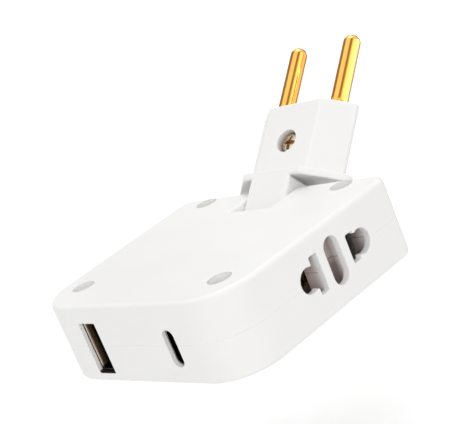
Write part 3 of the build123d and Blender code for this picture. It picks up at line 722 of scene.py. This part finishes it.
def makeCamera(look):
    data = bpy.data.cameras.new("photoCamera")
    camera = bpy.data.objects.new("photoCamera", data)
    bpy.context.scene.collection.objects.link(camera)
    up, behind = -Vector(look["down"]), -Vector(look["ahead"])
    turn = Matrix((look["right"], up, behind)).transposed()
    camera.matrix_world = Matrix.Translation(Vector(look["eye"]) * mm) @ turn.to_4x4()
    data.sensor_width = look["sensorWidth"]
    data.lens = look["focalPixels"] * look["sensorWidth"] / look["imageWidth"]
    data.clip_start, data.clip_end = look["clip"]
    bpy.context.scene.camera = camera


makeCamera(cameraLook)

# White floor, low enough for the plug to hang straight down, and clear from below so that the
# underside can be seen. To the eye it has a little light of its own, more far off where the
# lamps don't reach
floorLook = {
    "half": 3.0,
    "colour": (0.9, 0.9, 0.9),
    "drop": 46.0 * mm,
    "lift": (0.14, 0.46),
    "liftReach": (0.12, 0.65),
}


def makePanel(name, corners, material):
    mesh = bpy.data.meshes.new(name)
    mesh.from_pydata(np.array(corners).tolist(), [], [(0, 1, 2, 3)])
    mesh.materials.append(material)
    panel = bpy.data.objects.new(name, mesh)
    bpy.context.scene.collection.objects.link(panel)
    return panel


# One for camera, mirror and glass rays, times a strength, and nothing for the light on things
def seenByEye(tree, strength):
    path = tree.nodes.new("ShaderNodeLightPath")
    total = path.outputs["Is Camera Ray"]
    for ray in ("Is Glossy Ray", "Is Transmission Ray"):
        total = addMath(tree, "MAXIMUM", total, path.outputs[ray])
    return addMath(tree, "MULTIPLY", total, strength)


def makeFloor(look):
    material = bpy.data.materials.new("paleFloor")
    tree = emptyTree(material)
    out = tree.nodes.new("ShaderNodeOutputMaterial")
    both = tree.nodes.new("ShaderNodeAddShader")
    matt = tree.nodes.new("ShaderNodeBsdfDiffuse")
    glow = tree.nodes.new("ShaderNodeEmission")
    matt.inputs["Color"].default_value = (*look["colour"], 1)
    coords = tree.nodes.new("ShaderNodeTexCoord")
    away = tree.nodes.new("ShaderNodeVectorMath")
    away.operation = "LENGTH"
    tree.links.new(coords.outputs["Object"], away.inputs[0])
    lift = addRange(tree, away.outputs["Value"], *look["lift"], *look["liftReach"])
    tree.links.new(seenByEye(tree, lift), glow.inputs["Strength"])
    tree.links.new(matt.outputs["BSDF"], both.inputs[0])
    tree.links.new(glow.outputs["Emission"], both.inputs[1])
    side = tree.nodes.new("ShaderNodeNewGeometry")
    pick = tree.nodes.new("ShaderNodeMixShader")
    clear = tree.nodes.new("ShaderNodeBsdfTransparent")
    tree.links.new(side.outputs["Backfacing"], pick.inputs["Fac"])
    tree.links.new(both.outputs["Shader"], pick.inputs[1])
    tree.links.new(clear.outputs["BSDF"], pick.inputs[2])
    tree.links.new(pick.outputs["Shader"], out.inputs["Surface"])
    half, low = look["half"], -look["drop"]
    corners = ((-half, -half, low), (half, -half, low), (half, half, low), (-half, half, low))
    makePanel("floor", corners, material)


makeFloor(floorLook)

# Studio light: an even white room and two soft boxes; the eye sees the room as plain white
roomLook = {"fill": 0.73}
softBoxes = [
    {"name": "keyBox", "place": (-0.02, 0.32, 0.85), "size": 0.5, "power": 2.4},
    {"name": "frontBox", "place": (0.53, -0.53, 0.32), "size": 0.5, "power": 1.40},
]
softBoxAim = (0, 0, 0.02)


def makeRoom(look):
    world = bpy.data.worlds.new("whiteRoom")
    bpy.context.scene.world = world
    tree = emptyTree(world)
    out = tree.nodes.new("ShaderNodeOutputWorld")
    room = tree.nodes.new("ShaderNodeBackground")
    room.inputs["Color"].default_value = (1, 1, 1, 1)
    strength = addMath(tree, "ADD", seenByEye(tree, 1.0 - look["fill"]), look["fill"])
    tree.links.new(strength, room.inputs["Strength"])
    tree.links.new(room.outputs["Background"], out.inputs["Surface"])


def makeSoftBox(look):
    data = bpy.data.lights.new(look["name"], "AREA")
    data.shape = "SQUARE"
    data.size = look["size"]
    data.energy = look["power"]
    lamp = bpy.data.objects.new(look["name"], data)
    bpy.context.scene.collection.objects.link(lamp)
    aim = Vector(softBoxAim) - Vector(look["place"])
    lamp.location = look["place"]
    lamp.rotation_euler = aim.to_track_quat("-Z", "Y").to_euler()
    lamp.visible_camera = False


# Cards that only bright metal sees. All but the tip's fill the part of the room that the camera
# sees mirrored in the pins between two places across them: -1 is a pin's left edge and 1 its
# right edge. They are reckoned from the middle between the pins, or from a pin at one side: the
# near card stands close beside the right pin, so that the two pins differ
pinMiddle = Vector((0.0, 0.0596, 0.0385))
cards = {
    "leftShade": {"across": (-0.93, -0.70), "away": 0.20, "half": 0.05, "light": 0.28},
    "topGlow": {"across": (-0.62, -0.28), "away": 0.50, "half": 0.20, "light": 1.35},
    "topShade": {"across": (-0.21, 0.01), "away": 0.30, "half": 0.10, "light": 0.36},
    "rightGlow": {"across": (0.12, 0.38), "away": 0.26, "half": 0.10, "light": 2.00},
    "nearGlow": {
        "across": (0.36, 0.70), "away": 0.009, "half": 0.0125, "light": 3.30, "side": 0.0095,
    },
    "backShade": {"across": (0.82, 0.95), "away": 0.08, "half": 0.10, "light": 0.42},
}
tipShade = {"wide": (-0.10, 0.02), "tall": (0.042, 0.090), "back": 0.17, "light": 0.25}


# Mirror direction on a round pin = view less twice its part along the normal, which turns from
# facing to side
def mirroredIn(across, middle):
    axis = Vector(plugAxis)
    view = (middle - Vector(cameraLook["eye"]) * mm).normalized()
    facing = (view.dot(axis) * axis - view).normalized()
    side = axis.cross(facing)
    normal = facing * np.sqrt(1 - across ** 2) + side * across
    return view - 2 * view.dot(normal) * normal


def makeCard(name, corners, light):
    material = bpy.data.materials.new(name)
    tree = emptyTree(material)
    out = tree.nodes.new("ShaderNodeOutputMaterial")
    glow = tree.nodes.new("ShaderNodeEmission")
    glow.inputs["Strength"].default_value = light
    tree.links.new(glow.outputs["Emission"], out.inputs["Surface"])
    card = makePanel(name, corners, material)
    card.visible_camera = False
    card.visible_diffuse = False
    card.visible_transmission = False
    card.visible_shadow = False


def makeCards():
    for name, look in cards.items():
        middle = pinMiddle + Vector((look.get("side", 0.0), 0, 0))
        first, last = (middle + look["away"] * mirroredIn(u, middle) for u in look["across"])
        along = Vector(plugAxis) * look["half"]
        corners = (first - along, last - along, last + along, first + along)
        makeCard(name, corners, look["light"])
    (left, right), (low, high), back = tipShade["wide"], tipShade["tall"], tipShade["back"]
    corners = ((left, back, low), (right, back, low), (right, back, high), (left, back, high))
    makeCard("tipShade", corners, tipShade["light"])


makeRoom(roomLook)
for box in softBoxes:
    makeSoftBox(box)
makeCards()
bpy.context.scene.view_settings.view_transform = "Standard"
print("camera, floor, lights and cards set")
